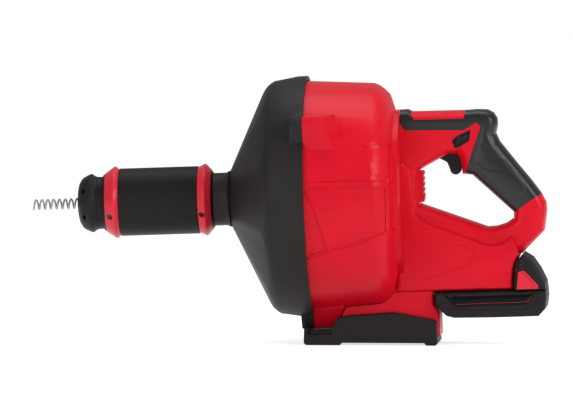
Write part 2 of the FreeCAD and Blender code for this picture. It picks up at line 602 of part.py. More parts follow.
# ribs inside both halves hold the switch by its sides
switch_low, switch_high = (186, -d.switch_half_width, 24), (204, d.switch_half_width, 46)
switch_ribs = minus("switch_ribs", block("switch_rib_bar", (191, -30, 30), (199, 30, 40)),
                    block("switch_rib_gap", (190, -d.switch_half_width - d.running_gap, 29),
                          (200, d.switch_half_width + d.running_gap, 41)))
cavity = join("handle_cavity", [
    minus("loop_cavity", slab("loop_cavity_outer", inset(loop, deep), d.handle_half_width - deep),
          join("loop_cavity_solid", [slab("loop_cavity_window", inset(hole, -deep), 60.0), switch_ribs])),
    slab("lower_cavity", inset(lower, d.wall), d.body_half_width - d.wall),
    slab("leg_cavity", inset(leg, d.wall + 0.4), d.leg_half_width - d.wall),
    block("front_opening", (104, -17, -92), (114, 17, 62)),
])
trigger_slot = slab("trigger_slot", [(143, 30), (150, 27), (160, 12), (186, 12), (187, 40), (177, 52), (146, 49)],
                    d.trigger_half_width + d.trigger_slot_gap)
shuttle_shape = [(165.6, 49.6), (163.9, 54.3), (167.3, 58.0), (179.4, 63.2), (178.3, 55.6), (166.9, 49.2)]
bezel_inner = inset(shuttle_shape, -d.shuttle_gap)
bezel_outer = inset(shuttle_shape, -(d.shuttle_gap + d.bezel_wall))
shuttle_window = slab("shuttle_window", bezel_outer, 40.0)
# one frame in each side wall, the middle left clear for the trigger
node(minus("shuttle_bezel_ring", slab("bezel_outer", bezel_outer, d.handle_half_width + 0.4),
           join("bezel_clear", [slab("bezel_inner", bezel_inner, 40.0),
                                slab("bezel_middle", inset(bezel_outer, -2), d.bezel_reach)])), "shuttle_bezel")
pack_bay = join("pack_bay", [
    block("rail_bay", (137, -(d.rail_half_width + 0.6), -110), (236, d.rail_half_width + 0.6, d.rail_top + 0.6)),
    slab("rear_bay", [(222.4, -110), (222.6, -98), (226, -74.2), (232.4, -65.9), (270, -65.9), (270, -110)], 40.0)])
vent_seat = block("vent_seat", (120, -11.2, -9.5), (131, 11.2, 24.2))
# the two halves are screwed together from the far side
screw_spots = ((112, 16), (112, -46), (178, -96), (214, -64))
screw_seats = [rod(f"seat_{i}_{k}", r, depth, (x, 36, z), V(0, -1, 0))
               for i, (x, z) in enumerate(screw_spots) for k, (r, depth) in enumerate(((3.1, 3.4), (1.25, 6)))]
screws("handle_screws", [(x, d.body_half_width - 0.2, z) for x, z in screw_spots], 2.8, 1.2, 1.2, 3.0, V(0, -1, 0))
bands = [(164.2, -53.5), (183.5, -60.7), (174.8, -76.6), (125.5, -91.1)]
grooves = []
for side in (-1, 1):
    for name, outline, depth in (("groove", strip(bands, d.groove_width.value), 0.9),
                                 ("skirt", [(197.5, -86.5), (192, -110), (230, -110), (230, -84.2)], 1.2)):
        b = new_body(f"side_{name}_{side}")
        pushed(b, "band", outline, 4, offset=side * (d.body_half_width + (2 - depth)))
        grooves.append(b)
hollow = join("handle_hollow", [grip, cavity, trigger_slot, shuttle_window, pack_bay, vent_seat] + screw_seats
              + grooves)
# grip is removed with the hollow so rubber and red casing meet face to face
shell = minus("handle_shell", red_form, hollow)
for name, low, high in (("handle_housing_left", -60, 0), ("handle_housing_right", 0, 60)):
    half = block(name + "_side", (40, low, -200), (300, high, 120))
    node(overlap(name + "_half", shell, half), name)

b = new_body("vent_grille")
pushed(b, "strip", [(122.2, 23.8), (129.6, 23.8), (130.6, 20.6), (129.2, 18), (130.6, 14.8), (129.2, 12.0), (130.6, 9), (129.2, 6.2),
                    (130.6, 3.2), (129.2, 0.4), (130.6, -2.6), (129.6, -9.1), (122.2, -9.1)], 22)
node(b, "vent_grille")

b = new_body("trigger")
pushed(b, "trigger", [(150.5, 44.5), (146.2, 36.6), (150.8, 34.4), (155.0, 32.0), (157.2, 26.8), (158.6, 21.6),
                      (161.0, 19.2), (164.4, 18.4), (167.6, 19.6), (169.6, 22.6), (170.6, 31), (172.4, 34), (172.4, 44.5),
                      (168, 46)], d.trigger_half_width * 2)
node(b, "trigger")
node(slab("direction_shuttle", shuttle_shape, d.handle_half_width + d.shuttle_overhang), "direction_shuttle")
node(block("switch_module_block", switch_low, switch_high), "switch_module")
coil("trigger_spring", 173.1, d.trigger_spring_radius, d.trigger_spring_wire, 2.4, 12.2,
     FreeCAD.Placement(V(0, 0, 38), FreeCAD.Rotation()))
node(block("control_board_plate", (162, 28.9, -84), (190, 30.7, -62)), "control_board")
# ---------------------------------------------------------------- battery pack
lower_case = [(d.pack_front, d.pack_top), (d.pack_front, -117.6), (150.2, -129.3), (158.3, -131.7), (200, d.pack_bottom),
              (247.7, d.pack_bottom), (255.3, -124.8), (d.pack_rear, -113.5), (d.pack_rear - 0.5, d.pack_top)]
case_low = rounded("pack_low", lower_case, d.pack_half_width, 2.5, 5)
case_low_in = slab("pack_low_in", inset(lower_case, d.pack_wall), d.pack_half_width - d.pack_wall)
open_top = block("pack_low_open", (146, -34, -108), (250, 34, -104))
node(minus("pack_lower", case_low, join("pack_low_hollow", [case_low_in, open_top])), "battery_case_lower")
riser = [(223.0, d.pack_top + 0.0), (223.2, -98), (226.4, -84.4), (227.8, -73.8), (232.9, -66.6), (241.7, -72.4),
         (249.4, -84), (255.5, -97.2), (d.pack_rear - 0.5, d.pack_top)]
rails = block("pack_rails", (152, -d.rail_half_width, d.pack_top), (226, d.rail_half_width, d.rail_top))
latch_shape = [(225.6, -103.4), (227.6, -84.8), (234, -83.4), (248.8, -99.6), (248.6, -103.4)]
latch_pockets = []
for side in (-1, 1):
    b = new_body(f"latch_pocket_{side}")
    pushed(b, "pocket", inset(latch_shape, -0.35), 12.5, offset=-side * 32.75)
    latch_pockets.append(b)
blade_slots = [block(f"blade_slot_{i}", (150, y - 0.9, -102), (164, y + 0.9, -92)) for i, y in enumerate((-12, 0, 12))]
upper = minus("pack_upper", join("pack_upper_whole", [rounded("pack_riser", riser, d.pack_half_width, 2.5, 5), rails]),
              join("pack_upper_cuts", latch_pockets + blade_slots))
node(upper, "battery_case_upper")
for name, side in (("left", -1), ("right", 1)):
    b = new_body(f"latch_button_{name}")
    pushed(b, "button", latch_shape, d.latch_depth, offset=-side * (d.pack_half_width + 0.6 - d.latch_depth / 2))
    node(b, f"latch_button_{name}")
    behind = FreeCAD.Placement(V(236, side * 31.05, -95), FreeCAD.Rotation(V(0, 0, 1), -90 * side))
    coil(f"latch_spring_{name}", 0, d.latch_spring_radius, d.latch_spring_wire, 1.3, 3.9, behind, 8, 5)
cells = [rod(f"cell_{i}", d.cell_radius, d.cell_length, (160.2 + i * d.cell_pitch.value, -32.5, -120.1), V(0, 1, 0))
         for i in range(5)]
group("battery_cells", cells)
links = [block(f"link_{i}", (160.2 - 5 + i * d.cell_pitch.value, y, -123.7), (160.2 + 24 + i * d.cell_pitch.value, y + 0.3, -117.7))
         for i, y in ((0, 32.6), (2, 32.6), (1, -32.9), (3, -32.9))]
group("cell_links", links)

node(block("terminal_block_body", (139, -23, -102), (147, 23, -90)), "terminal_block")
group("terminal_blades", [block(f"blade_{i}", (147, y - 0.4, -101), (161, y + 0.4, -93))
                          for i, y in enumerate((-12, 0, 12))])

# ---------------------------------------------------------------- base foot
sin_pitch, cos_pitch = math.sin(math.radians(d.tool_pitch.value)), math.cos(math.radians(d.tool_pitch.value))


def level(u, lift=0.0):
    """Height in the tool's own tilted axes of a point above the resting plane."""
    return -((d.axis_height + (u * sin_pitch - lift)) / cos_pitch)


foot = [(-0.6, -137.4), (-1.3, level(-1.3, 2.2)), (0.9, level(0.9)), (36.7, level(36.7)),
        (39.5, level(39.5, d.foot_lift.value)), (126.2, level(126.2, d.foot_lift.value)), (128.2, level(128.2)),
        (138.2, level(138.2)), (140.3, level(140.3, 2.2)), (140.3, -136), (136.8, -132.5), (94.8, -123.4), (47, -125.4), (34.3, -128.0),
        (32, -133), (28, -138.4), (27.9, -143.8), (3.5, -143.5), (3.8, -135.4)]
foot_form = join("foot_form", [
    rounded("foot_outer", foot, d.foot_half_width, 1.2, 2.5, steps=2),
    block("notch_back", (3, -(d.foot_half_width - 6), -146), (28.5, d.foot_half_width - 6, -(d.lug_reach + 0.8)))])
leg_room = slab("leg_room", inset(leg, -0.3), d.leg_half_width + 0.3)
node(minus("foot_cut", foot_form, join("foot_room", [leg_room, drum_clear, lug_room])), "base_foot")

doc.recompute()
for name, obj in nodes.items():
    place_in_tool(obj)
doc.recompute()

broken = []
for obj in doc.Objects:
    if "Invalid" in obj.State or "Error" in obj.State:
        broken.append((obj.Name, obj.State))
for name, obj in nodes.items():
    shape = obj.Shape
    if shape.isNull() or not shape.isValid() or not shape.Solids:
        broken.append((name, "bad shape"))
if broken:
    raise RuntimeError(f"not built: {broken}")
for name, obj in nodes.items():
    obj.Shape.exportStep(f"parts/{name}.step")
    box = obj.Shape.BoundBox
    print(f"{name:24s} solids {len(obj.Shape.Solids)} volume {obj.Shape.Volume:12.1f} x {box.XMin:7.1f} {box.XMax:7.1f} "
          f"y {box.YMin:6.1f} {box.YMax:6.1f} z {box.ZMin:6.1f} {box.ZMax:6.1f}")
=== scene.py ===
import json
import math
import bpy
import bmesh
from mathutils import Matrix, Vector
from mathutils.bvhtree import BVHTree


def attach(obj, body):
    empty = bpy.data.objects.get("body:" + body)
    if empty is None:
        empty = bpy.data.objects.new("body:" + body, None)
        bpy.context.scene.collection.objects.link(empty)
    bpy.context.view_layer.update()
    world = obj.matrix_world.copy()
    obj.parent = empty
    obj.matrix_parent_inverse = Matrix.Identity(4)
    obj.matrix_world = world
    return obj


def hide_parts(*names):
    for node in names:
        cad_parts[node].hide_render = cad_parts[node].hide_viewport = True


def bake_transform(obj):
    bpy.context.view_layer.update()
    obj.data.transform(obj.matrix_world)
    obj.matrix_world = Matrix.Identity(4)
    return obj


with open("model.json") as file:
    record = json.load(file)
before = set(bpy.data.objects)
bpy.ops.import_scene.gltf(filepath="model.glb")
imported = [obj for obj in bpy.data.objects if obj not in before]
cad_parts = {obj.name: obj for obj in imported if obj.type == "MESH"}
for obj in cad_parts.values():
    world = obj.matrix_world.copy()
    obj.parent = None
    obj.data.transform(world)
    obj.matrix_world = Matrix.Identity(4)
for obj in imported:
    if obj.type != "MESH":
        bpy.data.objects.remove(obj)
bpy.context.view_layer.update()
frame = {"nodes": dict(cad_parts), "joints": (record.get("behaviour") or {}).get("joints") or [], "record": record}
joints = {joint["name"]: joint for joint in frame["joints"]}
print("frame loaded:", len(frame["nodes"]), "nodes")

mm = 0.001  # in metres

# The tool sits nose down on its foot, so places on it are given in its own axes, in millimetres:
# along its shaft towards the handle, across towards the far side, and up.
drumAxis = Vector(joints["drum_spin"]["axis"]).normalized()
toolAcross = Vector((0, 1, 0))
toolUp = drumAxis.cross(toolAcross).normalized()
toolOrigin = Vector(joints["drum_spin"]["pos_m"])
toolMatrix = Matrix((
    (drumAxis.x, toolAcross.x, toolUp.x, toolOrigin.x),
    (drumAxis.y, toolAcross.y, toolUp.y, toolOrigin.y),
    (drumAxis.z, toolAcross.z, toolUp.z, toolOrigin.z),
    (0, 0, 0, 1)))


def toolPoint(along, across, up):
    return toolMatrix @ (Vector((along, across, up)) * mm)


# Camera. Angles are in degrees and the distance in metres; the rest is in millimetres.
# It is aimed by how far the middle of the view lies right of and above the tool's own origin.
viewPlace = {
    "azimuth": 4.2, "elevation": 3.0, "distance": 10.0,
    "right": -17.0, "above": -10.0, "viewWidth": 607.4, "sensorWidth": 36,
}


def placeCamera():
    turn = math.radians(viewPlace["azimuth"])
    tilt = math.radians(viewPlace["elevation"])
    away = Vector((math.sin(turn) * math.cos(tilt), -math.cos(turn) * math.cos(tilt), math.sin(tilt)))
    right = Vector((math.cos(turn), math.sin(turn), 0))
    above = away.cross(right)
    target = toolOrigin + (right * viewPlace["right"] + above * viewPlace["above"]) * mm
    data = bpy.data.cameras.new("viewCamera")
    data.sensor_width = viewPlace["sensorWidth"]
    data.lens = viewPlace["sensorWidth"] * viewPlace["distance"] / (viewPlace["viewWidth"] * mm)
    data.clip_end = 10 * viewPlace["distance"]
    camera = bpy.data.objects.new("viewCamera", data)
    bpy.context.scene.collection.objects.link(camera)
    camera.location = target + away * viewPlace["distance"]
    camera.rotation_euler = (-away).to_track_quat("-Z", "Y").to_euler()
    bpy.context.scene.camera = camera


placeCamera()

# Light and floor, in metres and watts. The floor glows by floorLift, only to rays that see or mirror it.
studio = {
    "aim": (0, 0, 0.15),
    "lamps": {
        "keyLight": {"place": (1.9, -1.25, 1.1), "size": (0.8, 1.0), "power": 23.0},
        "fillLight": {"place": (-1.1, -1.8, 0.8), "size": (1.4, 1.2), "power": 13.0},
        "topLight": {"place": (0.1, 0.35, 1.9), "size": (1.8, 0.9), "power": 13.0},
    },
    "worldLight": 0.34, "worldSeen": 1.0,
    "floorReach": 8.0, "floorTone": 0.9, "floorRough": 0.9, "floorLift": 0.7,
}
white = (1, 1, 1, 1)


def softBox(name, place, size, power):
    data = bpy.data.lights.new(name, "AREA")
    data.shape = "RECTANGLE"
    data.size, data.size_y = size
    data.energy = power
    lamp = bpy.data.objects.new(name, data)
    bpy.context.scene.collection.objects.link(lamp)
    lamp.location = place
    lamp.rotation_euler = (Vector(studio["aim"]) - Vector(place)).to_track_quat("-Z", "Y").to_euler()


# one for rays from the camera or off glossy and clear surfaces, nought for the rest
def seenOrMirrored(tree):
    path = tree.nodes.new("ShaderNodeLightPath")
    total = path.outputs["Is Camera Ray"]
    for other in ("Is Glossy Ray", "Is Transmission Ray"):
        add = tree.nodes.new("ShaderNodeMath")
        add.operation = "ADD"
        add.use_clamp = True
        tree.links.new(total, add.inputs[0])
        tree.links.new(path.outputs[other], add.inputs[1])
        total = add.outputs[0]
    return total


def plainLight(tree, strength):
    light = tree.nodes.new("ShaderNodeBackground")
    light.inputs["Color"].default_value = white
    light.inputs["Strength"].default_value = strength
    return light


# white behind the tool for the camera, and a dimmer white that lights the tool
def lightWorld():
    world = bpy.data.worlds.new("studioWorld")
    bpy.context.scene.world = world
    world.use_nodes = True
    tree = world.node_tree
    tree.nodes.clear()
    out = tree.nodes.new("ShaderNodeOutputWorld")
    mix = tree.nodes.new("ShaderNodeMixShader")
    path = tree.nodes.new("ShaderNodeLightPath")
    light = plainLight(tree, studio["worldLight"])
    seen = plainLight(tree, studio["worldSeen"])
    tree.links.new(path.outputs["Is Camera Ray"], mix.inputs["Fac"])
    tree.links.new(light.outputs[0], mix.inputs[1])
    tree.links.new(seen.outputs[0], mix.inputs[2])
    tree.links.new(mix.outputs[0], out.inputs["Surface"])


# pale paper, lifted to pure white where it is seen lit, so only the shadow shows
def layFloor():
    mesh = bpy.data.meshes.new("studioFloor")
    reach = studio["floorReach"]
    corners = [(-reach, -reach, 0), (reach, -reach, 0), (reach, reach, 0), (-reach, reach, 0)]
    mesh.from_pydata(corners, [], [(0, 1, 2, 3)])
    floor = bpy.data.objects.new("studioFloor", mesh)
    bpy.context.scene.collection.objects.link(floor)
    material = bpy.data.materials.new("paperFloor")
    material.use_nodes = True
    tree = material.node_tree
    shader = tree.nodes["Principled BSDF"]
    shader.inputs["Base Color"].default_value = (studio["floorTone"],) * 3 + (1,)
    shader.inputs["Roughness"].default_value = studio["floorRough"]
    shader.inputs["Emission Color"].default_value = white
    lift = tree.nodes.new("ShaderNodeMath")
    lift.operation = "MULTIPLY"
    lift.inputs[1].default_value = studio["floorLift"]
    tree.links.new(seenOrMirrored(tree), lift.inputs[0])
    tree.links.new(lift.outputs[0], shader.inputs["Emission Strength"])
    mesh.materials.append(material)


for name, lamp in studio["lamps"].items():
    softBox(name, **lamp)
lightWorld()
layFloor()
bpy.context.scene.view_settings.view_transform = "Standard"
print("camera, light and floor placed")

# Finishes. Grain is the scale of the fine relief, bump its strength, and mottle how far the tone varies.
finishes = {
    "cone_black": {
        "colour": (0.018, 0.0158, 0.0156), "rough": 0.5, "shine": 0.17,
        "grain": 900, "bump": 0.10, "mottle": 0.10},
    "sleeve_black": {
        "colour": (0.0118, 0.0102, 0.0100), "rough": 0.48, "shine": 0.14,
        "grain": 900, "bump": 0.10, "mottle": 0.10},
    "black_plastic": {
        "colour": (0.0152, 0.0134, 0.0132), "rough": 0.48, "shine": 0.15,
        "grain": 900, "bump": 0.10, "mottle": 0.10},
    "red_plastic": {
        "colour": (0.74, 0.004, 0.020), "rough": 0.34, "shine": 0.18,
        "grain": 700, "bump": 0.035, "mottle": 0.05},
    "ring_red": {
        "colour": (0.80, 0.018, 0.042), "rough": 0.32, "shine": 0.36,
        "grain": 700, "bump": 0.04, "mottle": 0.06},
    "grip_rubber": {
        "colour": (0.011, 0.0104, 0.0106), "rough": 0.35, "shine": 0.4,
        "grain": 1500, "bump": 0.16, "mottle": 0.12},
    "inner_plastic": {
        "colour": (0.11, 0.11, 0.115), "rough": 0.55,
        "grain": 600, "bump": 0.08, "mottle": 0.08},
    "board_green": {
        "colour": (0.02, 0.14, 0.06), "rough": 0.35,
        "grain": 400, "bump": 0.03, "mottle": 0.2},
    "cell_wrap": {
        "colour": (0.06, 0.2, 0.45), "rough": 0.3,
        "grain": 300, "bump": 0.02, "mottle": 0.05},
    "label_gloss": {
        "colour": (0.003, 0.003, 0.0035), "rough": 0.22, "shine": 0.12,
        "grain": 300, "bump": 0.01, "mottle": 0.05},
    "label_red": {
        "colour": (0.5, 0.02, 0.03), "rough": 0.3, "shine": 0.3,
        "grain": 300, "bump": 0.01, "mottle": 0.05},
    "tip_wire": {
        "colour": (0.34, 0.325, 0.30), "rough": 0.38, "metal": 1,
        "grain": 1200, "bump": 0.08, "mottle": 0.2},
    "spring_steel": {
        "colour": (0.60, 0.60, 0.61), "rough": 0.24, "metal": 1,
        "grain": 1200, "bump": 0.05, "mottle": 0.12},
    "dark_steel": {
        "colour": (0.05, 0.05, 0.052), "rough": 0.36, "metal": 1,
        "grain": 900, "bump": 0.05, "mottle": 0.15},
    "steel": {
        "colour": (0.46, 0.46, 0.47), "rough": 0.30, "metal": 1,
        "grain": 900, "bump": 0.05, "mottle": 0.15},
    "cable_steel": {
        "colour": (0.36, 0.36, 0.37), "rough": 0.36, "metal": 1,
        "grain": 700, "bump": 0.1, "mottle": 0.2},
    "copper": {
        "colour": (0.70, 0.32, 0.16), "rough": 0.32, "metal": 1,
        "grain": 500, "bump": 0.08, "mottle": 0.15},
    "nickel": {
        "colour": (0.58, 0.56, 0.50), "rough": 0.28, "metal": 1,
        "grain": 500, "bump": 0.04, "mottle": 0.1},
}

# what all the finishes share: patches of tone and polish, and how deep the relief is in metres
surfaceWear = {
    "patchScale": 26, "patchDetail": 5, "darkUpTo": 0.3, "paleFrom": 0.7,
    "glossier": 0.05, "duller": 0.06, "grainDetail": 3, "reliefDepth": 0.0004,
}


def makeFinish(name, colour, rough, grain, bump, mottle, metal=0, shine=0.5):
    material = bpy.data.materials.new(name)
    material.use_nodes = True
    tree = material.node_tree
    shader = tree.nodes["Principled BSDF"]
    shader.inputs["Metallic"].default_value = metal
    shader.inputs["Specular IOR Level"].default_value = shine
    place = tree.nodes.new("ShaderNodeTexCoord")
    patches = tree.nodes.new("ShaderNodeTexNoise")
    patches.inputs["Scale"].default_value = surfaceWear["patchScale"]
    patches.inputs["Detail"].default_value = surfaceWear["patchDetail"]
    tree.links.new(place.outputs["Object"], patches.inputs["Vector"])
    tones = tree.nodes.new("ShaderNodeValToRGB")
    dark, pale = tones.color_ramp.elements
    dark.position = surfaceWear["darkUpTo"]
    pale.position = surfaceWear["paleFrom"]
    dark.color = tuple(c * (1 - mottle) for c in colour) + (1,)
    pale.color = tuple(min(1, c * (1 + mottle)) for c in colour) + (1,)
    tree.links.new(patches.outputs["Fac"], tones.inputs["Fac"])
    tree.links.new(tones.outputs["Color"], shader.inputs["Base Color"])
    polish = tree.nodes.new("ShaderNodeMapRange")
    polish.inputs["To Min"].default_value = rough - surfaceWear["glossier"]
    polish.inputs["To Max"].default_value = rough + surfaceWear["duller"]
    tree.links.new(patches.outputs["Fac"], polish.inputs["Value"])
    tree.links.new(polish.outputs["Result"], shader.inputs["Roughness"])
    fine = tree.nodes.new("ShaderNodeTexNoise")
    fine.inputs["Scale"].default_value = grain
    fine.inputs["Detail"].default_value = surfaceWear["grainDetail"]
    tree.links.new(place.outputs["Object"], fine.inputs["Vector"])
    relief = tree.nodes.new("ShaderNodeBump")
    relief.inputs["Strength"].default_value = bump
    relief.inputs["Distance"].default_value = surfaceWear["reliefDepth"]
    tree.links.new(fine.outputs["Fac"], relief.inputs["Height"])
    tree.links.new(relief.outputs["Normal"], shader.inputs["Normal"])
    return material


materials = {name: makeFinish(name, **values) for name, values in finishes.items()}
slotOf = {entry["node"]: entry["material_slot"] for entry in frame["record"]["subparts"]}
for name, obj in frame["nodes"].items():
    obj.data.materials.clear()
    obj.data.materials.append(materials[slotOf[name]])
print("finishes made:", len(materials))

smoothWithin = {"moulded": 32, "springs": 50, "details": 40, "wire": 60}  # degrees between faces


def linkPiece(name, mesh, finish, body):
    piece = bpy.data.objects.new(name, mesh)
    bpy.context.scene.collection.objects.link(piece)
    mesh.materials.clear()
    mesh.materials.append(materials[finish])
    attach(piece, body)
    return piece


def bodyOf(node):
    for body, members in frame["record"]["behaviour"]["bodies"].items():
        if node in members:
            return body


def shadeByAngle(mesh, degrees):
    for face in mesh.polygons:
        face.use_smooth = True
    mesh.set_sharp_from_angle(angle=math.radians(degrees))


# Shown copies of the moulded pieces, with their flat faces merged and their edges rounded.
# Lengths are in millimetres and flatWithin is in degrees.
moulded = {
    "mergeWithin": 0.002, "flatWithin": 1.0, "edgeSteps": 2,
    "finishes": {"front_shroud": "cone_black", "feed_sleeve": "sleeve_black", "nose_tube": "sleeve_black"},
    "edges": {
        "nose_cap": 0.5, "nose_tube": 0.3, "feed_sleeve": 0.4, "front_ring": 0.35, "rear_ring": 0.35,
        "front_shroud": 0.8, "drum_housing": 0.8, "handle_housing_left": 0.5, "handle_housing_right": 0.5,
        "grip_overmould": 0.4, "vent_grille": 0.35, "trigger": 0.8, "direction_shuttle": 0.5,
        "base_foot": 1.0, "shuttle_bezel": 0.3, "battery_case_lower": 0.6, "battery_case_upper": 0.5,
        "latch_button_left": 0.6, "latch_button_right": 0.6,
    },
}


def dress(node, edge):
    bm = bmesh.new()
    bm.from_mesh(frame["nodes"][node].data)
    bmesh.ops.remove_doubles(bm, verts=bm.verts, dist=moulded["mergeWithin"] * mm)
    flat = math.radians(moulded["flatWithin"])
    bmesh.ops.dissolve_limit(bm, angle_limit=flat, verts=bm.verts, edges=bm.edges)
    mesh = bpy.data.meshes.new(node + "_shown")
    bm.to_mesh(mesh)
    bm.free()
    finish = moulded["finishes"].get(node, slotOf[node])
    piece = linkPiece(node + "_shown", mesh, finish, bodyOf(node))
    shadeByAngle(mesh, smoothWithin["moulded"])
    bevel = piece.modifiers.new("softEdges", "BEVEL")
    bevel.width = edge * mm
    bevel.segments = moulded["edgeSteps"]
    bevel.limit_method = "ANGLE"
    bevel.angle_limit = math.radians(smoothWithin["moulded"])
    bevel.use_clamp_overlap = True
    bevel.harden_normals = True
    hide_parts(node)


for node, edge in moulded["edges"].items():
    dress(node, edge)
print("moulded pieces dressed:", len(moulded["edges"]))

# springs, each with the body at its still end, the one that presses it, and where it runs from and to; each is
# shown as a smooth copy of its part
springs = {
    "trigger_spring": {
        "still": "housing", "pressed": "trigger", "from": (185.0, 0, 38), "to": (173.3, 0, 38)},
    "latch_spring_left": {
        "still": "battery", "pressed": "latch_left", "from": (236, -26.5, -95), "to": (236, -31.3, -95)},
    "latch_spring_right": {
        "still": "battery", "pressed": "latch_right", "from": (236, 26.5, -95), "to": (236, 31.3, -95)},
}
for node, spring in springs.items():
    mesh = frame["nodes"][node].data.copy()
    piece = bpy.data.objects.new(node + "_shown", mesh)
    bpy.context.scene.collection.objects.link(piece)
    shadeByAngle(mesh, smoothWithin["springs"])
    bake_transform(piece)
    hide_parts(node)
print("springs joined to what presses them:", len(springs))

# Surface details are laid on the moulded shapes from outside the tool, all sizes in millimetres.
nearFar = {-1: "near", 1: "far"}  # which way each half of the tool faces
laying = {"from": 300, "beadSides": 10, "beadStep": 1.2, "beadSink": 0.35, "plateSink": 0.3}
surfaceTrees = {}  # for each node, its own surface and whatever pads lie on it


def surfaceTree(mesh):
    corners = [vertex.co for vertex in mesh.vertices]
    return BVHTree.FromPolygons(corners, [face.vertices for face in mesh.polygons])


# the outermost spot on a node, or on what has been laid on it
def landOn(node, side, along, up):
    trees = surfaceTrees.setdefault(node, [])
    if not trees:
        trees.append(surfaceTree(frame["nodes"][node].data))
    start = toolPoint(along, side * laying["from"], up)
    hits = [tree.ray_cast(start, Vector((0, -side, 0))) for tree in trees]
    hits = [hit for hit in hits if hit[0] is not None]
    if not hits:
        raise ValueError(f"{node} has nothing at {along}, {up}")
    spot, normal = min(hits, key=lambda hit: hit[3])[:2]
    return spot, normal


# a smooth curve through the given corners
def smoothRun(corners, step):
    ends = [corners[0]] + list(corners) + [corners[-1]]
    run = []
    for span in zip(ends, ends[1:], ends[2:], ends[3:]):
        a, b, c, d = (Vector(corner) for corner in span)
        count = max(2, int((c - b).length / step))
        for i in range(count):
            t = i / count
            run.append(0.5 * (2 * b + (c - a) * t + (2 * a - 5 * b + 4 * c - d) * t * t
                              + (3 * b - a - 3 * c + d) * t ** 3))
    run.append(Vector(corners[-1]))
    return run


# straight runs between the corners, with more points on them
def filledIn(corners, step):
    run = []
    for start, end in zip(corners, corners[1:]):
        start, end = Vector(start), Vector(end)
        count = max(1, round((end - start).length / step))
        run += [start.lerp(end, i / count) for i in range(count)]
    return run + [Vector(corners[-1])]


def closeMesh(name, verts, faces):
    mesh = bpy.data.meshes.new(name)
    mesh.from_pydata(verts, [], faces)
    bm = bmesh.new()
    bm.from_mesh(mesh)
    bmesh.ops.recalc_face_normals(bm, faces=bm.faces)
    bm.to_mesh(mesh)
    bm.free()
    shadeByAngle(mesh, smoothWithin["details"])
    return mesh


# a raised line, half sunk in the surface and thinning over its last points
def layBead(name, node, side, run, width, proud, finish, taper):
    landed = [landOn(node, side, *place) for place in run]
    last = len(landed) - 1
    sides = laying["beadSides"]
    sink = laying["beadSink"] * mm
    verts = []
    for i, (spot, normal) in enumerate(landed):
        before = landed[max(i - 1, 0)][0]
        after = landed[min(i + 1, last)][0]
        across = (after - before).normalized().cross(normal).normalized()
        thin = min(1, (min(i, last - i) + 1) / taper)
        for k in range(sides):
            turn = 2 * math.pi * k / sides
            lift = math.sin(turn) * (proud * mm * thin + sink) - sink
            verts.append(spot + across * (math.cos(turn) * width / 2 * mm * thin) + normal * lift)
    faces = []
    for i in range(last):
        for k in range(sides):
            n = (k + 1) % sides
            faces.append((i * sides + k, i * sides + n, (i + 1) * sides + n, (i + 1) * sides + k))
    faces.append(tuple(range(sides)))
    faces.append(tuple(last * sides + k for k in range(sides)))
    return linkPiece(name, closeMesh(name, verts, faces), finish, bodyOf(node))


# a closed slab over a grid of places, with its outer face as far out as heights says and its inner one sunk
def laySlab(name, node, side, grid, heights, sink, finish):
    tall, wide = len(grid), len(grid[0])
    layer = tall * wide
    spots = [landOn(node, side, *place)[0] for row in grid for place in row]
    depths = [height for row in heights for height in row]
    verts = [spot + Vector((0, side * depth * mm, 0)) for spot, depth in zip(spots, depths)]
    verts += [spot + Vector((0, side * -sink * mm, 0)) for spot in spots]
    faces = []
    for r in range(tall - 1):
        for c in range(wide - 1):
            first = r * wide + c
            cell = (first, first + 1, first + wide + 1, first + wide)
            faces += [cell, tuple(i + layer for i in reversed(cell))]
    rim = list(range(wide))
    rim += [r * wide + wide - 1 for r in range(1, tall)]
    rim += [(tall - 1) * wide + c for c in range(wide - 2, -1, -1)]
    rim += [r * wide for r in range(tall - 2, 0, -1)]
    faces += [(a, b, b + layer, a + layer) for a, b in zip(rim, rim[1:] + rim[:1])]
    return linkPiece(name, closeMesh(name, verts, faces), finish, bodyOf(node))


# a thin even plate between an upper and a lower run of corners
def layPlate(name, node, side, plate, finish):
    rows = plate["rows"]
    pairs = [(Vector(a), Vector(b)) for a, b in zip(plate["top"], plate["foot"])]
    grid = [[a.lerp(b, r / rows) for a, b in pairs] for r in range(rows + 1)]
    heights = [[plate["proud"]] * len(pairs)] * len(grid)
    return laySlab(name, node, side, grid, heights, laying["plateSink"], finish)


# the place at a share of the way along a run, each of its legs counting the same
def shareAlong(corners, share):
    place = share * (len(corners) - 1)
    leg = min(int(place), len(corners) - 2)
    return Vector(corners[leg]).lerp(Vector(corners[leg + 1]), place - leg)


# a soft pad that swells out of the surface between two runs and dies away at its edges
def layPad(name, node, side, pad, finish):
    rows, columns = pad["rows"], pad["columns"]
    grid, heights = [], []
    for r in range(rows + 1):
        places, outs = [], []
        for c in range(columns + 1):
            rear = shareAlong(pad["rear"], c / columns)
            front = shareAlong(pad["front"], c / columns)
            places.append(rear.lerp(front, r / rows))
            rise = pad["swell"] * math.sin(math.pi * r / rows)
            rise *= math.sin(math.pi * c / columns) ** pad["endFullness"]
            outs.append(rise - pad["edgeSink"])
        grid.append(places)
        heights.append(outs)
    return laySlab(name, node, side, grid, heights, pad["sink"], finish)


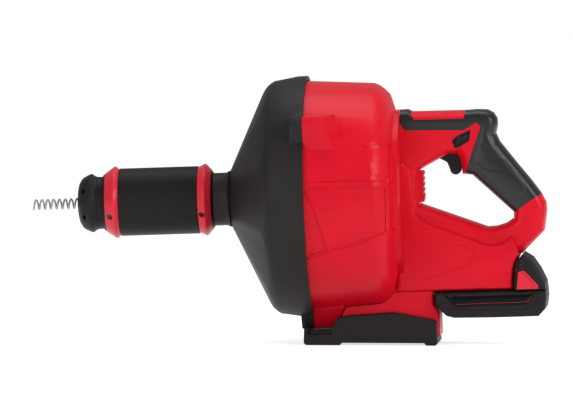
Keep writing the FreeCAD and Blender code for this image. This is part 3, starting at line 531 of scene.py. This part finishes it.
gripPad = {
    "rear": [(199.0, 74.0), (202.5, 58.0), (213.5, 41.5), (225.0, 25.5), (235.0, 12.0), (243.5, 0.5)],
    "front": [(193.0, 66.0), (187.0, 48.0), (182.5, 27.0), (200.0, 8.0), (212.5, -4.5), (223.0, -14.5)],
    "swell": 2.4, "endFullness": 0.6, "edgeSink": 0.15, "sink": 0.6, "columns": 28, "rows": 16,
}
pads = [layPad(f"grip_pad_{half}", "grip_overmould", side, gripPad, "grip_rubber")
        for side, half in nearFar.items()]
surfaceTrees["grip_overmould"] += [surfaceTree(pad.data) for pad in pads]

gripLines = {
    "width": 1.8, "proud": 0.6, "taper": 3,
    "palmRidge": [(191.3, 50.5), (198.9, 41.5), (208.5, 36.8), (217.1, 32.1), (225.5, 20.4),
                  (233.9, 7.8), (238.9, -2.0)],
    "fingerRidge": [(188.0, 32.1), (193.9, 24.9), (207.9, 20.9), (220.1, 15.3), (228.6, 6.2)],
}
for side, half in nearFar.items():
    for line in ("palmRidge", "fingerRidge"):
        run = smoothRun(gripLines[line], laying["beadStep"])
        layBead(f"grip_{line}_{half}", "grip_overmould", side, run,
                gripLines["width"], gripLines["proud"], "grip_rubber", gripLines["taper"])
print("grip padded and ridged")

batteryLabel = {
    "top": [(148.9, -105.8), (170, -105.8), (195, -105.8), (220, -105.8), (238.7, -105.9),
            (242.6, -107.0)],
    "foot": [(149.2, -109.0), (159.5, -120.0), (180, -120.0), (210, -120.0), (234.6, -120.0),
             (242.4, -111.5)],
    "proud": 0.18, "rows": 4,
}
batteryStripe = {
    "line": [(161.5, -117.4), (180, -116.9), (205, -116.8), (229.2, -116.8), (236.6, -116.2),
             (241.0, -111.4)],
    "width": 0.7, "proud": 0.3, "taper": 1, "finish": "label_red",
}
batteryLedge = {
    "line": [(149.5, -121.8), (160.3, -122.8), (185, -123.6), (210.6, -124.3), (235.3, -124.6),
             (243.8, -117.8), (252.5, -117.8)],
    "width": 0.9, "proud": 0.35, "taper": 1, "finish": "black_plastic",
}
for side, half in nearFar.items():
    layPlate(f"battery_label_{half}", "battery_case_lower", side, batteryLabel, "label_gloss")
    for name, bead in (("stripe", batteryStripe), ("ledge", batteryLedge)):
        layBead(f"battery_{name}_{half}", "battery_case_lower", side, bead["line"],
                bead["width"], bead["proud"], bead["finish"], bead["taper"])
print("battery marked")


# a straight bar across the tool, with the outline that it has from the side
def layBar(name, body, outline, halfWidth, finish):
    count = len(outline)
    verts = [toolPoint(along, across, up) for across in (-halfWidth, halfWidth) for along, up in outline]
    faces = [tuple(range(count)), tuple(range(count, 2 * count))]
    faces += [(i, (i + 1) % count, (i + 1) % count + count, i + count) for i in range(count)]
    return linkPiece(name, closeMesh(name, verts, faces), finish, body)


riserLip = {  # soft lip on the pack's riser that closes the slit to the handle
    "outline": [(222.95, -97.5), (226.3, -74.4), (232.4, -66.7), (233.0, -67.2), (228.2, -73.8),
                (226.8, -84.4), (223.6, -97.5)],
    "halfWidth": 36.5,
}
packDeck = {  # deck over the cells
    "outline": [(146.3, -106.6), (249.7, -106.6), (249.7, -104.9), (146.3, -104.9)],
    "halfWidth": 33.7,
}
for name, bar in (("riser_lip", riserLip), ("pack_deck", packDeck)):
    layBar(name, "battery", bar["outline"], bar["halfWidth"], "black_plastic")
print("pack closed on top")

latchBorder = {
    "line": [(230.4, -86.6), (233.0, -86.2), (238.2, -90.8), (244.8, -99.8)],
    "width": 1.3, "proud": 0.5, "taper": 3,
}
for side, node in ((-1, "latch_button_left"), (1, "latch_button_right")):
    layBead(f"latch_border_{nearFar[side]}", node, side, smoothRun(latchBorder["line"], laying["beadStep"]),
            latchBorder["width"], latchBorder["proud"], "red_plastic", latchBorder["taper"])
print("latches bordered")

drumLines = {
    "width": 1.0, "proud": 0.4, "taper": 2, "step": 4,
    "lines": [
        [(14, 20.2), (60, 19.6), (106.5, 19.0)],  # above the side panel
        [(15, 14.6), (60, 14.0), (97.6, 13.2), (97.2, -8), (96.6, -30.6)],  # its upper and rear edges
        [(16, -59.0), (50, -49.3), (80, -40.8), (104, -34.0)],  # below it
        [(14.0, 9.5), (23.0, -21.0), (32.2, -51.0)],  # slanting rib
    ],
}
for side, half in nearFar.items():
    for number, line in enumerate(drumLines["lines"], 1):
        layBead(f"drum_line_{number}_{half}", "drum_housing", side, filledIn(line, drumLines["step"]),
                drumLines["width"], drumLines["proud"], "red_plastic", drumLines["taper"])
print("drum lined")

sleeveSeam = {
    "start": -190.5, "end": -112.5, "up": -2.4, "parts": 12,
    "width": 1.0, "proud": 0.3, "taper": 3,
}
seamLength = sleeveSeam["end"] - sleeveSeam["start"]
seamLine = [(sleeveSeam["start"] + seamLength * i / sleeveSeam["parts"], sleeveSeam["up"])
            for i in range(sleeveSeam["parts"] + 1)]
for side, half in nearFar.items():
    layBead(f"sleeve_seam_{half}", "feed_sleeve", side, smoothRun(seamLine, laying["beadStep"]),
            sleeveSeam["width"], sleeveSeam["proud"], "black_plastic", sleeveSeam["taper"])
print("sleeve seamed")

# Wound tip: start, its free end, is on the tool's own axis, and radius is to the middle of the wire.
tipSizes = {
    "start": -286.8, "length": 48.6, "radius": 5.0, "wire": 2.0, "pitch": 6.2,
    "pointsPerTurn": 40, "wireSides": 12,
}


# a tree that winds a wire, with its inputs' values by their identifiers
def windWire():
    group = bpy.data.node_groups.new("woundWire", "GeometryNodeTree")
    group.interface.new_socket("Geometry", in_out="OUTPUT", socket_type="NodeSocketGeometry")
    group.interface.new_socket("Geometry", in_out="INPUT", socket_type="NodeSocketGeometry")
    sizes = {
        "Turns": tipSizes["length"] / tipSizes["pitch"],
        "Coil Radius": tipSizes["radius"] * mm,
        "Coil Length": tipSizes["length"] * mm,
        "Wire Radius": tipSizes["wire"] / 2 * mm,
    }
    values = {}
    for label, value in sizes.items():
        socket = group.interface.new_socket(label, in_out="INPUT", socket_type="NodeSocketFloat")
        values[socket.identifier] = value
    nodes, links = group.nodes, group.links
    given = nodes.new("NodeGroupInput")
    out = nodes.new("NodeGroupOutput")
    spiral = nodes.new("GeometryNodeCurveSpiral")
    spiral.inputs["Resolution"].default_value = tipSizes["pointsPerTurn"]
    links.new(given.outputs["Turns"], spiral.inputs["Rotations"])
    links.new(given.outputs["Coil Radius"], spiral.inputs["Start Radius"])
    links.new(given.outputs["Coil Radius"], spiral.inputs["End Radius"])
    links.new(given.outputs["Coil Length"], spiral.inputs["Height"])
    ring = nodes.new("GeometryNodeCurvePrimitiveCircle")
    ring.inputs["Resolution"].default_value = tipSizes["wireSides"]
    links.new(given.outputs["Wire Radius"], ring.inputs["Radius"])
    tube = nodes.new("GeometryNodeCurveToMesh")
    tube.inputs["Fill Caps"].default_value = True
    links.new(spiral.outputs["Curve"], tube.inputs["Curve"])
    links.new(ring.outputs["Curve"], tube.inputs["Profile Curve"])
    real = nodes.new("GeometryNodeRealizeInstances")
    paint = nodes.new("GeometryNodeSetMaterial")
    paint.inputs["Material"].default_value = materials["tip_wire"]
    links.new(tube.outputs["Mesh"], real.inputs["Geometry"])
    links.new(real.outputs["Geometry"], paint.inputs["Geometry"])
    links.new(paint.outputs["Geometry"], out.inputs["Geometry"])
    return group, values


# what a tree makes, as a plain mesh
def bakeTree(name, group, values):
    holder = bpy.data.objects.new(name + "Maker", bpy.data.meshes.new(name + "Base"))
    bpy.context.scene.collection.objects.link(holder)
    modifier = holder.modifiers.new("tree", "NODES")
    modifier.node_group = group
    for identifier, value in values.items():
        modifier[identifier] = value
    graph = bpy.context.evaluated_depsgraph_get()
    graph.update()
    mesh = bpy.data.meshes.new_from_object(
        holder.evaluated_get(graph), preserve_all_data_layers=True, depsgraph=graph)
    bpy.data.objects.remove(holder)
    mesh.name = name
    return mesh


tipMesh = bakeTree("auger_tip_shown", *windWire())
# the spiral rises along Z from the origin, so it is laid along the tool from its free end
tipMesh.transform(toolMatrix @ Matrix.Translation(Vector((tipSizes["start"], 0, 0)) * mm)
                  @ Matrix.Rotation(math.radians(90), 4, "Y"))
shadeByAngle(tipMesh, smoothWithin["wire"])
tip = linkPiece("auger_tip_shown", tipMesh, "tip_wire", "drum")
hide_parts("auger_tip")
print("tip wound:", len(tipMesh.polygons), "faces")
